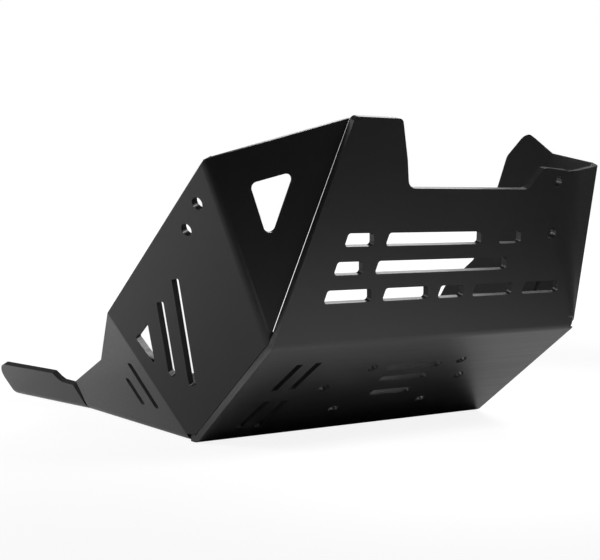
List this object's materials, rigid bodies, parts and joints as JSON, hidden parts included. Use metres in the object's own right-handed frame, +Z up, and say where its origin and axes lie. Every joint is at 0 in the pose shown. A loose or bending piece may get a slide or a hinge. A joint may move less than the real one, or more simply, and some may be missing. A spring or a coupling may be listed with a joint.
{
  "type": "motorcycle skid plate",
  "caption": "Folded sheet-metal skid plate with a flat bottom, slotted ramp and front panel, and unequal side wings that shield a motorcycle engine.",
  "frame": {"origin": "middle of the flat bottom panel, on its underside", "axes": "+Z up, +Y to the rear of the motorcycle, +X towards the wing that is folded back from the front panel"},
  "size_m": [0.4256, 0.4367, 0.2291],
  "materials": {
    "plate": "satin black anodised"
  },
  "bodies": {
    "root": {"skid_plate": "plate"}
  },
  "joints": []
}
